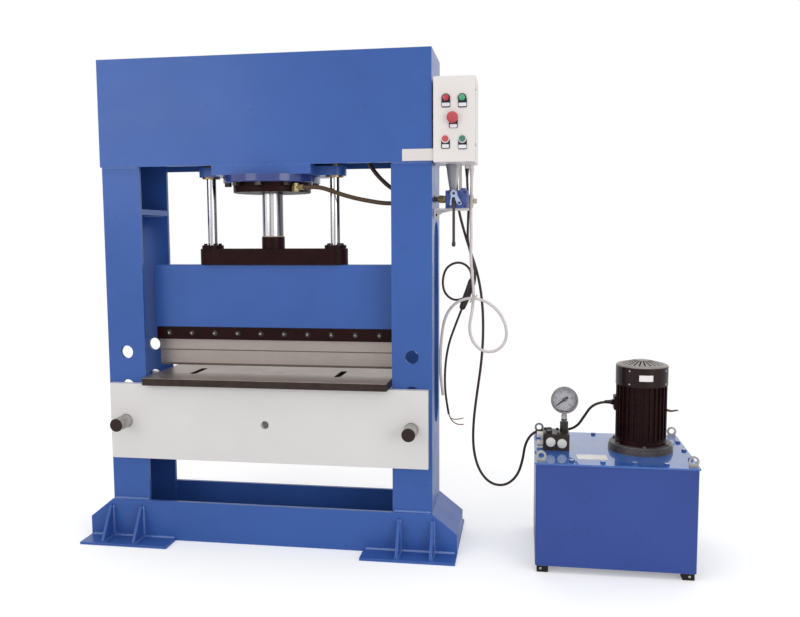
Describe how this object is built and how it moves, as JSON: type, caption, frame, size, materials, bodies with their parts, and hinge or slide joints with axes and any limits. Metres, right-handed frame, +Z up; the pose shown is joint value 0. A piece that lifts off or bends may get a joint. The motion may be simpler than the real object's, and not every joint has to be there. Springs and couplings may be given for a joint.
{
  "type": "hydraulic bending press",
  "caption": "Upright hydraulic press with a full-width ram beam, punch and die plate, pinned bed, control box, hand valve and a free-standing oil power unit.",
  "frame": {"origin": "on the floor under the ram's axis, midway between the press's front and back", "axes": "+Z up, +X towards the power unit on the right as seen from the front, +Y towards the back"},
  "size_m": [2.292, 0.471, 1.85],
  "materials": {
    "blue_paint": "glossy",
    "white_panel": "satin",
    "box_paint": "satin",
    "tank_paint": "glossy",
    "black_oxide": "satin",
    "ground_steel": "ground",
    "chrome_rod": "polished",
    "pin_steel": "turned",
    "bronze": "satin",
    "fitting_steel": "plated",
    "hose_rubber": "matte",
    "cable_jacket": "matte",
    "white_tube": "satin",
    "boot_plastic": "matte",
    "lever_black": "satin",
    "lamp_red": "glossy",
    "lamp_green": "glossy",
    "button_red": "glossy",
    "button_green": "glossy",
    "device_plastic": "matte",
    "gauge_metal": "polished",
    "gauge_glass": "clear",
    "needle_black": "matte",
    "motor_grey": "satin",
    "motor_black": "satin",
    "fan_plastic": "matte"
  },
  "bodies": {
    "frame": {"base_pan": "blue_paint", "base_plates": "blue_paint", "feet": "blue_paint", "left_upright": "blue_paint", "right_upright": "blue_paint", "crown_plates": "blue_paint", "crown_top_plate": "blue_paint", "cylinder_mount_plate": "blue_paint", "guide_bushes": "bronze", "cylinder_body": "blue_paint", "gland_ring": "black_oxide", "flange_bolts": "black_oxide", "bed_plates": "white_panel", "bed_spacers": "white_panel", "die_plate": "ground_steel", "control_box_shell": "box_paint", "box_contents": "device_plastic", "box_strap": "box_paint", "valve_body": "blue_paint", "valve_bracket": "box_paint", "valve_boot": "boot_plastic", "hose_fittings": "fitting_steel", "lower_hose": "hose_rubber", "upper_hose": "hose_rubber", "motor_cable": "cable_jacket", "supply_cable": "cable_jacket", "white_hose": "white_tube", "tank_shell": "tank_paint", "tank_cover": "tank_paint", "lifting_eyes": "pin_steel", "cover_bolts": "black_oxide", "manifold_block": "black_oxide", "port_caps": "fitting_steel", "gauge_case": "gauge_metal", "gauge_glass": "gauge_glass", "motor_flange": "motor_grey", "motor_housing": "motor_black", "fan_cover": "motor_black"},
    "ram": {"ram_rod": "chrome_rod", "rod_collar": "black_oxide", "crosshead": "black_oxide", "guide_rods": "chrome_rod", "rod_flanges": "black_oxide", "ram_beam": "blue_paint", "clamp_bar": "black_oxide", "clamp_bolts": "black_oxide", "punch": "ground_steel"},
    "left_pin_body": {"left_pin": "pin_steel"},
    "right_pin_body": {"right_pin": "pin_steel"},
    "door_body": {"door": "box_paint", "red_lamp": "lamp_red", "green_lamp": "lamp_green"},
    "stop_body": {"stop_button": "button_red"},
    "start_body": {"start_button": "button_green"},
    "estop_body": {"estop_button": "button_red"},
    "lever_body": {"hand_lever": "lever_black"},
    "spool_body": {"valve_spool": "pin_steel"},
    "rotor_body": {"rotor": "fan_plastic"},
    "needle_body": {"gauge_needle": "needle_black"}
  },
  "joints": [
    {"name": "ram_slide", "type": "slide", "parent": "frame", "child": "ram", "axis": [0, 0, 1], "range_m": [-0.024, 0.16]},
    {"name": "left_pin_slide", "type": "slide", "parent": "frame", "child": "left_pin_body", "axis": [0, -1, 0], "range_m": [0, 0.42]},
    {"name": "right_pin_slide", "type": "slide", "parent": "frame", "child": "right_pin_body", "axis": [0, -1, 0], "range_m": [0, 0.42]},
    {"name": "lever_pivot", "type": "hinge", "parent": "frame", "child": "lever_body", "pos_m": [0.71, -0.092, 1.34], "axis": [1, 0, 0], "range_deg": [-12, 12], "stiffness_Nm_per_rad": 8},
    {"name": "spool_slide", "type": "slide", "parent": "frame", "child": "spool_body", "axis": [0, 1, 0], "range_m": [-0.0048, 0.0048]},
    {"name": "door_hinge", "type": "hinge", "parent": "frame", "child": "door_body", "pos_m": [0.795, -0.146, 1.595], "axis": [0, 0, 1], "range_deg": [0, 100]},
    {"name": "stop_press", "type": "slide", "parent": "door_body", "child": "stop_body", "axis": [0, 1, 0], "range_m": [0, 0.004], "stiffness_N_per_m": 800},
    {"name": "start_press", "type": "slide", "parent": "door_body", "child": "start_body", "axis": [0, 1, 0], "range_m": [0, 0.004], "stiffness_N_per_m": 800},
    {"name": "estop_press", "type": "slide", "parent": "door_body", "child": "estop_body", "axis": [0, 1, 0], "range_m": [0, 0.005], "stiffness_N_per_m": 800},
    {"name": "rotor_spin", "type": "hinge", "parent": "frame", "child": "rotor_body", "pos_m": [1.396, 0, 0.67], "axis": [0, 0, 1], "continuous": true},
    {"name": "needle_pivot", "type": "hinge", "parent": "frame", "child": "needle_body", "pos_m": [1.117, -0.023, 0.577], "axis": [0, 1, 0], "range_deg": [0, 260], "stiffness_Nm_per_rad": 0.05}
  ],
  "couplings": [
    {"joint": "spool_slide", "follows": "lever_pivot", "m_per_rad": 0.02235}
  ]
}
